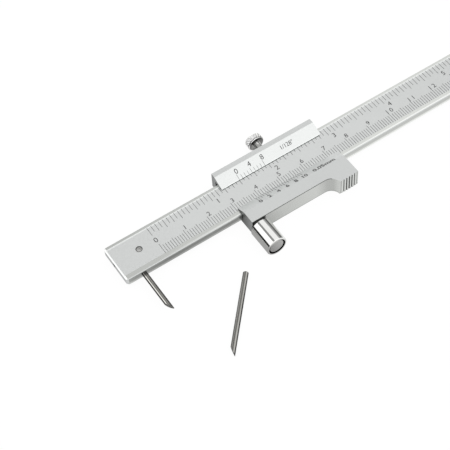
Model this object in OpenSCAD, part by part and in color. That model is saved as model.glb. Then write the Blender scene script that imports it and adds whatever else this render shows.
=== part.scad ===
// Marking caliper: a graduated beam with a clamped scriber, a vernier slider with a guide roller,
// and a spare scriber on the table beside them. Millimetres.
// Work frame: X runs along the beam from the zero of its scales, Y across the graduated face,
// Z out of it, and Z = 0 lies on the guide lands. placed() then sets everything on the table.

/* [Beam] */
// Length of the beam
beam_len = 260; // [255:1:320]
// Width of the beam across its graduated face
beam_w = 16; // [15:0.5:20]
// Thickness of the beam
beam_t = 3; // [2.8:0.1:4]
// Distance from the left end of the beam to the zero of the scales
zero_x = 17; // [15.5:0.5:20]
// Width of the ground guide land along the lower edge
land_low = 2; // [1.2:0.1:2.6]
// Width of the ground guide land along the upper edge
land_up = 1.1; // [0.8:0.1:1.6]
// Depth of the graduated field below the guide lands
field_depth = 0.15; // [0.05:0.05:0.25]
// Chamfer on the ends and on the lower front edge of the beam
beam_bevel = 0.4; // [0.2:0.1:0.6]
// Cut across each corner of the beam
beam_corner = 0.8; // [0.4:0.1:1.2]

/* [Scriber] */
// Diameter of the scribers
scriber_d = 2; // [1.4:0.1:2]
// Length of the scribers
scriber_len = 33; // [30:0.5:38]
// How far the clamped scriber stands out of the lower edge of the beam
scriber_reach = 17.8; // [16.5:0.1:18.5]
// Distance of the clamped scriber from the zero of the scales
scriber_x = 10.1; // [9.5:0.1:11]
// Length of the ground slant that makes the point
scriber_slant = 3.4; // [2:0.1:5]
// Distance from the scriber to its clamp screw, along the beam
clamp_offset = 3.35; // [3.2:0.05:3.6]
// Height of the clamp screw above the lower edge of the beam
clamp_y = 8.8; // [6:0.1:11]
// Diameter of the clamp screw
clamp_d = 2.5; // [2.3:0.1:2.5]
// Diameter of the steel ball between the clamp screw and the scriber
ball_d = 1.4; // [1.2:0.1:1.4]

/* [Slider] */
// Length of the slider
slider_len = 43.2; // [42:0.2:50]
// Reading that the slider is set to
reading = 38.2; // [10:0.1:150]
// Distance from the left end of the slider to the zero of its verniers
vernier_x = 7.6; // [7:0.1:9]
// Width of the rail below the beam
rail_low = 6.45; // [6:0.05:8]
// Width of the rail above the beam
rail_up = 3.75; // [3.5:0.05:5]
// Thickness of the slider behind the beam
slider_back = 1.8; // [1.4:0.1:3]
// Height of the slider in front of the beam
slider_front = 2.4; // [2:0.1:3]
// Reach of the lower lip over the beam
lip_low = 2.93; // [2.4:0.01:3.4]
// Reach of the upper lip over the beam
lip_up = 2.96; // [2.4:0.01:3.4]
// Height of the thin edge of both lips
lip_edge = 0.3; // [0.2:0.05:0.5]
// Width of the slanted face of the lower lip
slant_low = 4.05; // [3.5:0.05:4.5]
// Width of the slanted face of the upper lip
slant_up = 4.7; // [4:0.05:5]

/* [Thumb grip] */
// Length of the thumb face along the beam
grip_len = 8; // [7.8:0.1:9]
// How far the thumb face stands below the lower rail
grip_drop = 3.75; // [3:0.05:4]
// Radius of the hollow between the lower rail and the thumb grip
grip_hollow = 3.9; // [3.8:0.1:5]
// Bulge of the thumb face
grip_bulge = 0.25; // [0.1:0.05:0.4]
// Number of grooves across the thumb face
groove_count = 7; // [4:1:7]
// Distance between grooves
groove_pitch = 1.17; // [0.95:0.01:1.18]
// Depth of each groove
groove_depth = 0.36; // [0.2:0.02:0.4]

/* [Gib] */
// Width of the slot for the gib strip
gib_slot = 1; // [0.9:0.05:1.2]
// Thickness of the gib strip
gib_t = 0.8; // [0.6:0.05:0.8]
// Diameter of the gib screws
gib_screw_d = 2; // [1.6:0.1:2]
// Distance of each gib screw from the end of the slider
gib_screw_inset = 7; // [5:0.5:12]

/* [Lock screw] */
// Distance of the lock screw from the left end of the slider
lock_x = 22.4; // [18:0.2:26]
// Diameter of the threaded shank
lock_d = 2.8; // [2.4:0.1:2.8]
// Bare length of the shank between the slider and the head
lock_neck = 4.3; // [2:0.1:6]
// Diameter of the knurled head
lock_head_d = 6.6; // [6:0.1:6.6]
// Thickness of the knurled head
lock_head_h = 2.9; // [2.5:0.1:4]

/* [Guide roller] */
// Diameter of the roller
roller_d = 8; // [7.6:0.1:9]
// Length of the roller
roller_len = 10.9; // [9:0.1:11]
// Diameter of the hollow in the free end
roller_cup_d = 6.7; // [6.4:0.1:6.8]
// Depth of the hollow in the free end
roller_cup = 1.6; // [1.4:0.1:2.5]
// Diameter of the part of the axle that the roller turns on
axle_d = 4; // [3.5:0.1:4.2]
// Diameter of the shank pressed into the slider
axle_shank_d = 3; // [2.5:0.1:3]
// Diameter of the head of the axle
axle_head_d = 5.9; // [5.5:0.1:5.9]
// Thickness of the head of the axle
axle_head = 0.9; // [0.7:0.1:1]
// Thickness of the washer behind the roller
washer_t = 0.5; // [0.3:0.1:0.8]

/* [End stop] */
// Distance of the stop screw from the right end of the beam
stop_inset = 5.35; // [4:0.05:12]
// Diameter of the head of the stop screw
stop_head_d = 4; // [3:0.1:4.5]
// Thickness of the head of the stop screw
stop_head = 1.2; // [0.8:0.1:1.3]
// Diameter of the shank of the stop screw
stop_d = 2.5; // [2:0.1:2.6]

/* [Spare scriber] */
// Distance of its blunt end from the zero of the scales, along the beam
spare_x = 19.3; // [10:0.1:40]
// Distance of its blunt end below the lower edge of the beam
spare_y = 18.7; // [18.7:0.1:40]
// Angle between it and the clamped scriber, in degrees
spare_turn = 42; // [0:1:60]

/* [Hidden] */
$fn = 96;

// Radial clearance of a part that slides or turns
run_gap = 0.05;
// Radial clearance of a part that is pressed or screwed in
seat_gap = 0.02;
// How far a cutting shape runs past what it cuts
overrun = 1;
// Small chamfer on edges that are only broken
edge_break = 0.2;

// Beam
mid_z = -beam_t / 2;
beam_section = [
    [0, -beam_t], [beam_w, -beam_t], [beam_w, -edge_break], [beam_w - edge_break, 0],
    [beam_w - land_up, 0], [beam_w - land_up - field_depth, -field_depth],
    [land_low + field_depth, -field_depth], [land_low, 0], [beam_bevel, 0], [0, -beam_bevel]];
beam_side = [
    [0, -beam_t + edge_break], [edge_break, -beam_t], [beam_len - edge_break, -beam_t],
    [beam_len, -beam_t + edge_break], [beam_len, -beam_bevel], [beam_len - beam_bevel, 0],
    [beam_bevel, 0], [0, -beam_bevel]];

// Scriber clamp: the cone of the screw drives the ball sideways against the scriber
scriber_r = scriber_d / 2;
clamp_r = clamp_d / 2;
ball_r = ball_d / 2;
clamp_x = clamp_offset - scriber_x;
ball_x = -scriber_x + scriber_r + ball_r + seat_gap;
// A 45 degree cone that passes the ball at seat_gap starts at this height
cone_top = mid_z + clamp_r - (clamp_x - ball_x) + (ball_r + seat_gap) * sqrt(2);
clamp_sunk = 0.4;
clamp_tip_r = 0.3;
clamp_key_af = 1.3;
clamp_key_depth = 0.45;

// Slider
slider_x = reading - vernier_x;
slider_end = slider_x + slider_len;
back_z = -beam_t - slider_back;
channel_low = -run_gap;
channel_up = beam_w + gib_slot;
channel_z = -beam_t - run_gap;
relief_d = 0.5;
slider_section = [
    [-rail_low - grip_drop - overrun, back_z], [beam_w + rail_up + overrun, back_z],
    [beam_w + rail_up + overrun, slider_front], [beam_w - lip_up + slant_up, slider_front],
    [beam_w - lip_up, lip_edge], [beam_w - lip_up, run_gap], [channel_up, run_gap],
    [channel_up, channel_z], [channel_low, channel_z], [channel_low, run_gap],
    [lip_low, run_gap], [lip_low, lip_edge], [lip_low - slant_low, slider_front],
    [-rail_low - grip_drop - overrun, slider_front]];

// Thumb grip
grip_x = slider_end - grip_len;
grip_face_r = (pow(grip_len / 2, 2) + pow(grip_bulge, 2)) / (2 * grip_bulge);
groove_lead = (grip_len - (groove_count - 1) * groove_pitch) / 2;

// Gib
gib_inset = 1;
gib_y = beam_w + seat_gap;
gib_dimple = 0.25;
gib_tip_share = 0.6;
gib_tip_d = gib_screw_d * gib_tip_share;
gib_sunk = 0.3;
gib_key_af = 0.9;
gib_key_depth = 0.8;
rail_top = beam_w + rail_up;

// Lock screw
lock_tip = gib_y + gib_t + seat_gap;
lock_head_y = rail_top + lock_neck;
lock_bevel = 0.35;
lock_dish_d = 4.6;
lock_dish = 0.25;

// Guide roller: its near side is one reading away from the point of the scriber
roller_r = roller_d / 2;
point_x = -scriber_x + scriber_r;
roller_x = point_x + reading + roller_r;
roller_z = back_z + roller_r;
washer_y = -rail_low;
roller_y = washer_y - washer_t - run_gap;
roller_bevel = 0.25;
axle_shank = 5.5;
axle_bevel = 0.3;

// End stop: the slider meets it at a reading of 200 with the sizes above
stop_x = beam_len - zero_x - stop_inset;
stop_y = beam_w / 2;
stop_shank = 2.4;
stop_slot = 0.6;
stop_slot_depth = 0.5;

// Bounds of everything across the beam, which centre the part on its origin
top_y = lock_head_y + lock_head_h;
bottom_y = -spare_y - scriber_len * cos(spare_turn) - scriber_r * sin(spare_turn);

// Sets the work frame on the table, with the origin below the middle of the whole part
module placed() {
    translate([zero_x - beam_len / 2, -(top_y + bottom_y) / 2, -back_z]) children();
}

// Extrudes a section, drawn in Y and Z, along X
module along_x(length) {
    rotate([90, 0, 90]) linear_extrude(length) children();
}

// Extrudes a side view, drawn in X and Z, from y1 down to y0
module along_y(y0, y1) {
    translate([0, y1, 0]) rotate([90, 0, 0]) linear_extrude(y1 - y0) children();
}

// A turned shape whose axis leaves the point given along +Y or, with a sign of -1, along -Y
module turned(x, y, z, way, profile) {
    translate([x, y, z]) rotate([-way * 90, 0, 0]) rotate_extrude() polygon(profile);
}

// A round bar or bore along Y
module rod_y(x, y0, y1, z, r) {
    translate([x, y1, z]) rotate([90, 0, 0]) cylinder(r = r, h = y1 - y0);
}

// A six-sided key socket, opening along +Z from the height given
module key_socket(af, depth) {
    translate([0, 0, -depth]) cylinder(r = af / sqrt(3), h = depth + overrun, $fn = 6);
}

// The scriber lies along -Y from its blunt end, with the point on its +X side
module scriber_shape() {
    slant_angle = atan(scriber_d / scriber_slant);
    difference() {
        turned(0, 0, 0, -1, [
            [0, 0], [scriber_r - edge_break, 0], [scriber_r, edge_break],
            [scriber_r, scriber_len], [0, scriber_len]]);
        translate([scriber_r, -scriber_len, 0]) rotate([0, 0, slant_angle])
            translate([-scriber_d * 2, -scriber_slant, -scriber_d])
                cube([scriber_d * 2, scriber_slant * 3, scriber_d * 2]);
    }
}

module beam() placed() color("silver") difference() {
    intersection() {
        translate([-zero_x - overrun, 0, 0]) along_x(beam_len + 2 * overrun) polygon(beam_section);
        translate([-zero_x, 0, 0]) along_y(-overrun, beam_w + overrun) polygon(beam_side);
    }
    for (x = [-zero_x, beam_len - zero_x], y = [0, beam_w])
        translate([x, y, -beam_t - overrun]) rotate([0, 0, 45])
            translate([-beam_corner / sqrt(2), -beam_corner / sqrt(2), 0])
                cube([beam_corner * sqrt(2), beam_corner * sqrt(2), beam_t + 2 * overrun]);
    rod_y(-scriber_x, -overrun, beam_w + overrun, mid_z, scriber_r + seat_gap);
    translate([clamp_x, clamp_y, -beam_t - overrun])
        cylinder(r = clamp_r + seat_gap, h = beam_t + 2 * overrun);
    translate([-zero_x - overrun, clamp_y, mid_z]) rotate([0, 90, 0])
        cylinder(r = ball_r + seat_gap, h = zero_x + clamp_x + overrun);
    translate([stop_x, stop_y, -beam_t - overrun])
        cylinder(r = stop_d / 2 + seat_gap, h = beam_t + 2 * overrun);
}

module scriber() placed() color("dimgray") translate([-scriber_x, scriber_len - scriber_reach, mid_z])
    scriber_shape();

module scriber_clamp_screw() placed() color("gray") translate([clamp_x, clamp_y, 0]) difference() {
    rotate_extrude() polygon([
        [0, cone_top - clamp_r + clamp_tip_r], [clamp_tip_r, cone_top - clamp_r + clamp_tip_r],
        [clamp_r, cone_top], [clamp_r, -clamp_sunk], [0, -clamp_sunk]]);
    translate([0, 0, -clamp_sunk]) key_socket(clamp_key_af, clamp_key_depth);
}

module clamp_ball() placed() color("gainsboro") translate([ball_x, clamp_y, mid_z]) sphere(r = ball_r);

module end_stop_screw() placed() color("gray") translate([stop_x, stop_y, -beam_t]) difference() {
    rotate_extrude() polygon([
        [0, -stop_head], [stop_head_d / 2 - edge_break, -stop_head],
        [stop_head_d / 2, -stop_head + edge_break], [stop_head_d / 2, 0], [stop_d / 2, 0],
        [stop_d / 2, stop_shank], [0, stop_shank]]);
    translate([-stop_head_d, -stop_slot / 2, -stop_head - overrun])
        cube([stop_head_d * 2, stop_slot, stop_slot_depth + overrun]);
}

// Plan of the slider: a plain rectangle and the thumb grip that hangs from its right end
module slider_plan() {
    translate([slider_x, -rail_low]) square([slider_len, rail_low + rail_top]);
    difference() {
        intersection() {
            translate([grip_x - grip_hollow, -rail_low - grip_drop])
                square([grip_len + grip_hollow, grip_drop + rail_low]);
            translate([grip_x + grip_len / 2, -rail_low - grip_drop + grip_face_r])
                circle(r = grip_face_r);
        }
        translate([grip_x - grip_hollow, -rail_low - grip_hollow]) circle(r = grip_hollow);
    }
}

// Grooves across the thumb face
module thumb_grooves() {
    for (i = [0 : groove_count - 1])
        translate([grip_x + groove_lead + i * groove_pitch, -rail_low - grip_drop])
            rotate(45) square(groove_depth * sqrt(2), center = true);
}

module slider_body() placed() color("lightgray") difference() {
    intersection() {
        translate([slider_x - overrun, 0, 0]) along_x(slider_len + 2 * overrun)
            polygon(slider_section);
        translate([0, 0, back_z - overrun]) linear_extrude(slider_front - back_z + 2 * overrun)
            difference() {
                slider_plan();
                thumb_grooves();
            }
    }
    for (y = [channel_low, channel_up], z = [channel_z, run_gap])
        translate([slider_x - overrun, y, z]) rotate([0, 90, 0])
            cylinder(d = relief_d, h = slider_len + 2 * overrun);
    for (x = [slider_x + gib_screw_inset, slider_end - gib_screw_inset])
        rod_y(x, beam_w, rail_top + overrun, mid_z, gib_screw_d / 2 + seat_gap);
    rod_y(slider_x + lock_x, beam_w, rail_top + overrun, mid_z, lock_d / 2 + seat_gap);
    rod_y(roller_x, -rail_low - overrun, -rail_low + axle_shank + seat_gap, roller_z,
          axle_shank_d / 2 + seat_gap);
}

module gib_strip() placed() color("gray") difference() {
    translate([slider_x + gib_inset, gib_y, -beam_t + edge_break])
        cube([slider_len - 2 * gib_inset, gib_t, beam_t - 2 * edge_break]);
    for (x = [slider_x + gib_screw_inset, slider_end - gib_screw_inset])
        rod_y(x, gib_y + gib_t - gib_dimple, gib_y + gib_t + overrun, mid_z,
              gib_tip_d / 2 + run_gap);
}

// A headless screw with a dog point that rests in a dimple of the gib strip
module gib_screw(x) {
    tip = gib_y + gib_t - gib_dimple + seat_gap;
    length = rail_top - gib_sunk - tip;
    translate([x, tip, mid_z]) rotate([-90, 0, 0]) difference() {
        rotate_extrude() polygon([
            [0, 0], [gib_tip_d / 2, 0], [gib_tip_d / 2, gib_dimple],
            [gib_screw_d / 2, gib_dimple + (gib_screw_d - gib_tip_d) / 2],
            [gib_screw_d / 2, length], [0, length]]);
        translate([0, 0, length]) key_socket(gib_key_af, gib_key_depth);
    }
}

module gib_screw_left() placed() color("gray") gib_screw(slider_x + gib_screw_inset);

module gib_screw_right() placed() color("gray") gib_screw(slider_end - gib_screw_inset);

module lock_screw() placed() color("darkgray")
    turned(slider_x + lock_x, lock_tip, mid_z, 1, [
        [0, 0], [lock_d / 2 - edge_break, 0], [lock_d / 2, edge_break],
        [lock_d / 2, lock_head_y - lock_tip + lock_dish],
        [lock_dish_d / 2, lock_head_y - lock_tip + lock_dish],
        [lock_dish_d / 2 + lock_dish, lock_head_y - lock_tip],
        [lock_head_d / 2 - lock_bevel, lock_head_y - lock_tip],
        [lock_head_d / 2, lock_head_y - lock_tip + lock_bevel],
        [lock_head_d / 2, top_y - lock_tip - lock_bevel],
        [lock_head_d / 2 - lock_bevel, top_y - lock_tip],
        [0, top_y - lock_tip]]);

module guide_roller() placed() color("whitesmoke")
    turned(roller_x, roller_y, roller_z, -1, [
        [axle_d / 2 + run_gap, 0], [roller_r - roller_bevel, 0], [roller_r, roller_bevel],
        [roller_r, roller_len - roller_bevel], [roller_r - roller_bevel, roller_len],
        [roller_cup_d / 2, roller_len], [roller_cup_d / 2, roller_len - roller_cup],
        [axle_d / 2 + run_gap, roller_len - roller_cup]]);

module roller_axle() {
    // Lengths along the axle from the face of the rail
    shoulder = washer_t + run_gap + roller_len - roller_cup + run_gap;
    placed() color("gray") turned(roller_x, -rail_low + axle_shank, roller_z, -1, [
        [0, 0], [axle_shank_d / 2 - axle_bevel, 0], [axle_shank_d / 2, axle_bevel],
        [axle_shank_d / 2, axle_shank], [axle_d / 2, axle_shank],
        [axle_d / 2, axle_shank + shoulder], [axle_head_d / 2, axle_shank + shoulder],
        [axle_head_d / 2, axle_shank + shoulder + axle_head - edge_break],
        [axle_head_d / 2 - edge_break, axle_shank + shoulder + axle_head],
        [0, axle_shank + shoulder + axle_head]]);
}

module roller_washer() placed() color("dimgray")
    turned(roller_x, washer_y, roller_z, -1, [
        [axle_d / 2 + seat_gap, 0], [axle_head_d / 2, 0], [axle_head_d / 2, washer_t],
        [axle_d / 2 + seat_gap, washer_t]]);

module spare_scriber() placed() color("dimgray")
    translate([spare_x, -spare_y, back_z + scriber_r]) rotate([0, 0, -spare_turn]) scriber_shape();

beam();
scriber();
scriber_clamp_screw();
clamp_ball();
end_stop_screw();
slider_body();
gib_strip();
gib_screw_left();
gib_screw_right();
lock_screw();
guide_roller();
roller_axle();
roller_washer();
spare_scriber();
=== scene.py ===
"""Looks of the marking caliper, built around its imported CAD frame.

Work coordinates are millimetres: X along the beam from the zero of its scales, Y across the
graduated face from the beam's lower edge, Z out of the face from its guide lands. Everything that
is shown is placed in the row frame, in metres.
"""

import logging
import math
from collections.abc import Callable, Iterable
from dataclasses import dataclass, field
from enum import Enum

import bmesh
import bpy
from mathutils import Matrix, Vector


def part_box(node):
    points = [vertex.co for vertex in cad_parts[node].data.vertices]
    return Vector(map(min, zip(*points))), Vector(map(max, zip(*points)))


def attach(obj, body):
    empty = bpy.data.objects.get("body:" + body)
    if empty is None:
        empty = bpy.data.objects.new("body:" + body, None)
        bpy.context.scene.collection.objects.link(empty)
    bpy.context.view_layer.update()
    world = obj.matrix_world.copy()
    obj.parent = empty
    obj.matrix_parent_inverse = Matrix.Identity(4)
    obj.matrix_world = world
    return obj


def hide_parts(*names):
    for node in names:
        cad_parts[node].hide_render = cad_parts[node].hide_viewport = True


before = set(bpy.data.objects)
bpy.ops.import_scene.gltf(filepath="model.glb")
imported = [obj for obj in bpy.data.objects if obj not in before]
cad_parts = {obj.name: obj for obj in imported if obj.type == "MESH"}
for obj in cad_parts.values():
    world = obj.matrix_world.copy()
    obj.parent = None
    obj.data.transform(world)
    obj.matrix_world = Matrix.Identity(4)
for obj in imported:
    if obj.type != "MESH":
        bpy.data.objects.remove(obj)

MM = 0.001
INCH = 25.4
MERGE = 0.000001
# Edges that count as sharp, and faces that count as one.
SHARP, FLAT = math.radians(25), math.radians(1)
# The beam's left end: its distance from the zero of the scales, and how far its bevel reaches.
ZERO_X, END_BEVEL = 17.0, 0.6
# How thick the paint of marks and numbers is, and how wide a mask rises at a clean edge.
PROUD, CRISP = 0.04, 0.04
LOG = logging.getLogger("marking_caliper")

Mesh, Material = bpy.types.Mesh, bpy.types.Material
Point = tuple[float, float, float]
# Distances from the axis of a turned piece and along it, in millimetres.
Profile = list[tuple[float, float]]
# Where a mask turns and how wide its rise is, or two such places and one width.
Edge, Band = tuple[float, float], tuple[float, float, float]


# ---- node trees


def operation(kind: str, turned: bool = False) -> Callable[..., "Wire"]:
    """Makes a method of Wire that adds a Math node.

    Args:
        kind: The node's operation.
        turned: True for a reflected operator, where the wire is the second value.

    Returns:
        The method. It takes the other value, where the operation has one.
    """
    def method(self: "Wire", other: "Wire | float" = 0.0) -> "Wire":
        """Adds the node on this and the other value."""
        return self.graph.math(kind, other, self) if turned else self.graph.math(kind, self, other)
    return method


class Wire:
    """An output socket that can be written in sums.

    A modulo is never below zero, and turn() is the angle whose sine is this and whose cosine is the
    other. above() and below() take an Edge, and within() takes a Band.
    """

    def __init__(self, graph: "Graph", socket: bpy.types.NodeSocket) -> None:
        """Keeps the socket and the graph that it belongs to."""
        self.graph, self.socket = graph, socket

    __add__ = __radd__ = operation("ADD")
    __sub__, __rsub__ = operation("SUBTRACT"), operation("SUBTRACT", turned=True)
    __mul__ = __rmul__ = operation("MULTIPLY")
    __truediv__, __mod__ = operation("DIVIDE"), operation("FLOORED_MODULO")
    lower, higher, turn = operation("MINIMUM"), operation("MAXIMUM"), operation("ARCTAN2")
    root, absolute, cosine = operation("SQRT"), operation("ABSOLUTE"), operation("COSINE")

    def span(self, other: "Wire") -> "Wire":
        """The distance that this and the other make as steps at right angles."""
        return (self * self + other * other).root()

    def ridge(self) -> "Wire":
        """0 at each whole number of this and 1 half way between them."""
        return 1 - ((self % 1.0) * 2 - 1).absolute()

    def clamped(self) -> "Wire":
        """This, kept from 0 to 1."""
        return self.higher(0).lower(1)

    def above(self, edge: float, blur: float = CRISP) -> "Wire":
        """A mask that rises from 0 to 1, over the width of the blur, where this passes the edge."""
        return ((self - (edge - blur / 2)) / blur).clamped()

    def below(self, edge: float, blur: float = CRISP) -> "Wire":
        """A mask that falls from 1 to 0 in the same way."""
        return 1 - self.above(edge, blur)

    def within(self, low: float, high: float, blur: float = CRISP) -> "Wire":
        """A mask that is 1 from one edge to the other."""
        return self.above(low, blur) * self.below(high, blur)

    def toward(self, target: "Wire | float", mask: "Wire") -> "Wire":
        """This where the mask is 0, and the target where it is 1."""
        return self * (1 - mask) + mask * target


class Graph:
    """Adds nodes to a shader or geometry tree."""

    def __init__(self, tree: bpy.types.NodeTree) -> None:
        """Keeps the tree."""
        self.tree = tree

    def node(self, kind: str, settings: dict | None = None,
             inputs: dict | None = None) -> bpy.types.Node:
        """Adds one node.

        Args:
            kind: Blender's type name of the node.
            settings: The node's own settings, and "stops" for the stops of a ramp.
            inputs: Values or wires by the name or number of the input.

        Returns:
            The node.
        """
        made = self.tree.nodes.new(kind)
        for name, value in (settings or {}).items():
            if name == "stops":
                ramp = made.color_ramp.elements
                while len(ramp) < len(value):
                    ramp.new(1.0)
                for stop, (place, shade) in zip(ramp, value):
                    stop.position, stop.color = place, (shade, shade, shade, 1.0)
            else:
                setattr(made, name, value)
        for key, value in (inputs or {}).items():
            if isinstance(value, Wire):
                self.tree.links.new(value.socket, made.inputs[key])
            else:
                made.inputs[key].default_value = value
        return made

    def wire(self, node: bpy.types.Node, output: str | int = 0) -> Wire:
        """One output of a node as a wire."""
        return Wire(self, node.outputs[output])

    def get(self, kind: str, settings: dict | None = None, inputs: dict | None = None,
            output: str | int = 0) -> Wire:
        """Adds one node, as node() does, and gives one of its outputs."""
        return self.wire(self.node(kind, settings, inputs), output)

    def math(self, kind: str, a: Wire | float, b: Wire | float) -> Wire:
        """Adds a Math node on two values."""
        return self.get("ShaderNodeMath", {"operation": kind}, {0: a, 1: b})

    def parts(self, vector: Wire) -> tuple[Wire, Wire, Wire]:
        """The X, Y and Z of a vector."""
        split = self.node("ShaderNodeSeparateXYZ", {}, {0: vector})
        return self.wire(split, 0), self.wire(split, 1), self.wire(split, 2)

    def rays(self) -> tuple[Wire, Wire]:
        """Sorts the rays that meet a surface.

        Returns:
            1 for rays from the camera, and 1 for mirrored and transmitted ones.
        """
        camera, *others = (self.get("ShaderNodeLightPath", {}, {}, f"Is {kind} Ray")
                           for kind in ("Camera", "Glossy", "Transmission"))
        return camera, others[0].higher(others[1])

    def vector(self, *steps: Wire | float) -> Wire:
        """A vector from its X, Y and Z, of which the last ones may be left out."""
        return self.get("ShaderNodeCombineXYZ", {}, dict(enumerate(steps)))


class Shader(Graph):
    """The node tree of one metal or paint, with the patterns that these finishes share."""

    def __init__(self, name: str) -> None:
        """Starts an empty material.

        Args:
            name: Its name.
        """
        self.material = bpy.data.materials.new(name)
        self.material.use_nodes = True
        super().__init__(self.material.node_tree)
        self.tree.nodes.clear()

    def seen(self) -> Wire:
        """Object coordinates, in metres."""
        return self.get("ShaderNodeTexCoord", {}, {}, "Object")

    def place(self, origin: Vector, scale: Point = (1.0, 1.0, 1.0)) -> Wire:
        """Object coordinates in millimetres from a point of the row frame, then multiplied by the scale."""
        moved = self.vectors("SUBTRACT", self.seen(), tuple(origin))
        return self.vectors("MULTIPLY", moved, tuple(part / MM for part in scale))

    def vectors(self, kind: str, a: Wire, b: Point) -> Wire:
        """Adds a Vector Math node on two vectors."""
        return self.get("ShaderNodeVectorMath", {"operation": kind}, {0: a, 1: b})

    def noise(self, vector: Wire, scale: float, detail: float = 2.0) -> Wire:
        """Noise from 0 to 1 on a vector."""
        return self.get("ShaderNodeTexNoise", {}, {"Vector": vector, "Scale": scale, "Detail": detail}, "Fac")

    def colour(self, red: Wire, green: Wire, blue: Wire) -> Wire:
        """A colour from its three parts."""
        return self.get("ShaderNodeCombineColor", {}, {0: red, 1: green, 2: blue})

    def bump(self, height: Wire, distance: float, strength: float) -> Wire:
        """A normal from a height of 0 to 1, which stands for the distance, in metres."""
        return self.get("ShaderNodeBump", {}, {"Height": height, "Distance": distance, "Strength": strength})

    def glow(self, strength: Wire) -> Wire:
        """White light of that strength."""
        return self.get("ShaderNodeEmission", {}, {"Color": grey(1.0), "Strength": strength})

    def end(self, surface: Wire) -> Material:
        """Ends the tree and gives the finished material."""
        self.node("ShaderNodeOutputMaterial", {}, {"Surface": surface})
        return self.material

    def surface(self, colour: Wire, roughness: Wire, metallic: float, normal: Wire) -> Material:
        """Ends the tree in a metal, with a metallic of 1, or in a paint, with one of 0."""
        return self.end(self.get("ShaderNodeBsdfPrincipled", {}, {
            "Base Color": colour, "Roughness": roughness, "Metallic": metallic, "Normal": normal}))


def grey(level: float) -> tuple[float, float, float, float]:
    """A grey as a colour."""
    return level, level, level, 1.0


# ---- finishes


Spot = tuple[Wire, Wire, Wire]
Levels = tuple[Wire, Wire | float, Wire | float]


@dataclass(frozen=True)
class PlatedSteel:
    """Fine blasted and plated steel with ground or brushed faces, of beam and slider."""

    name: str
    roughness: float = 0.34
    ground_roughness: float = 0.2
    brushed: Point = (0.06, 9.0, 9.0)
    relief: float = 0.000012

    def make(self, origin: Vector) -> Material:
        """Builds the material.

        Args:
            origin: The zero of the scales in the row frame.

        Returns:
            The material.
        """
        shader = Shader(self.name)
        spot = shader.place(origin)
        level, ground, polished = self.levels(shader.parts(spot))
        cloud = shader.noise(spot, 0.08, 3.0)
        grain = shader.noise(spot, 9.0)
        streaks = shader.noise(shader.place(origin, self.brushed), 1.0, 3.0)
        blasted = 1 - ground
        level = level * (cloud * 0.05 + grain * 0.05 * blasted + (streaks - 0.5) * 0.2 * ground + 0.95)
        colour = shader.colour(level * 0.98, level, level * (0.99 - ground * 0.025))
        roughness = (grain * 0.08 + (self.roughness - 0.04)) * blasted
        roughness = roughness + (streaks * 0.1 + (self.ground_roughness - 0.05)) * ground
        height = (grain * blasted + streaks * ground) * (1 - polished)
        normal = shader.bump(height, self.relief, 0.5)
        return shader.surface(colour, roughness * (1 - polished * 0.7), 1.0, normal)

    def levels(self, at: Spot) -> Levels:
        """How bright the metal is at a place, and where it is ground or polished.

        Args:
            at: Work X, Y and Z, in millimetres.

        Returns:
            The level, and masks that are 1 on ground faces and on polished edges.
        """
        raise NotImplementedError


@dataclass(frozen=True)
class BeamSteel(PlatedSteel):
    """The beam: a blasted field between ground lands and ground sides, with painted highlights and painted
    shade along its lands, sides and edges.
    """

    sides_y: Band = (0.03, 15.97, 0.04)
    land_z: Edge = (-0.03, 0.02)
    face: float = 0.68
    land: float = 0.565
    # The lands are painted brighter along X, a painted highlight.
    land_gain: float = 0.0018
    land_most: float = 0.74
    # A painted highlight on the outer strip of the lower land, past X = 10.
    rub_y: Edge = (0.72, 0.5)
    rub_x: Edge = (10.0, 30.0)
    rub_gain: float = 0.42
    upper_land_y: Edge = (15.1, 0.3)
    upper_land: float = 0.93
    # A painted highlight along the field, just below the upper land.
    field_edge_from: Edge = (14.4, 0.15)
    field_edge_to: Edge = (14.9, 0.1)
    field_edge_gain: float = 0.2
    # The side is painted brighter towards the table, a painted highlight.
    low_side_z: Edge = (-2.1, 0.9)
    side: float = 0.6
    low_side: float = 0.97
    end_x: Edge = (0.02 - ZERO_X, 0.02)
    end_face: float = 0.68
    # Painted shade: a dark line along the lower front edge, lighter towards the far end.
    corner_y: Edge = (0.13, 0.08)
    corner_z: Edge = (-0.38, 0.06)
    corner: float = 0.22
    corner_gain: float = 0.003
    corner_least: float = 0.1
    corner_most: float = 0.5
    bevel_x: Edge = (END_BEVEL - ZERO_X, 0.06)
    bevel_z: Edge = (-0.38, 0.04)
    polished: float = 0.88

    def levels(self, at: Spot) -> Levels:
        """The field, the lands, with a painted highlight that grows towards the far end, the sides and edges.

        Args:
            at: Work X, Y and Z, in millimetres.

        Returns:
            The level, and masks that are 1 on ground faces and on polished edges.
        """
        x, y, z = at
        inside, land = y.within(*self.sides_y), z.above(*self.land_z)
        # Painted highlight: the lands brighten towards the far end, the lower land's outer strip most.
        land_sheen = (x * self.land_gain + self.land).lower(self.land_most)
        land_sheen = land_sheen * (y.below(*self.rub_y) * x.above(*self.rub_x) * self.rub_gain + 1)
        land_sheen = land_sheen * (1 - y.above(*self.upper_land_y) * (1 - self.upper_land))
        level = land * (land_sheen - self.face) + self.face
        # Painted highlight along the field's upper edge.
        field_edge = y.above(*self.field_edge_from) * y.below(*self.field_edge_to)
        level = level * (field_edge * self.field_edge_gain + 1)
        # Painted highlight: the side brightens away from the face, towards the table.
        side = z.below(*self.low_side_z) * (self.low_side - self.side) + self.side
        level = side.toward(level, inside)
        level = level * (x.above(*self.end_x) * (1 - self.end_face) + self.end_face)
        # Painted shade along the lower front edge, growing lighter along X.
        corner = (x * self.corner_gain + self.corner).higher(self.corner_least).lower(self.corner_most)
        level = level.toward(corner, y.below(*self.corner_y) * z.above(*self.corner_z))
        polished = x.below(*self.bevel_x) * z.above(*self.bevel_z)
        return level.toward(self.polished, polished), (land + 1 - inside).lower(1), polished


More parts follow.
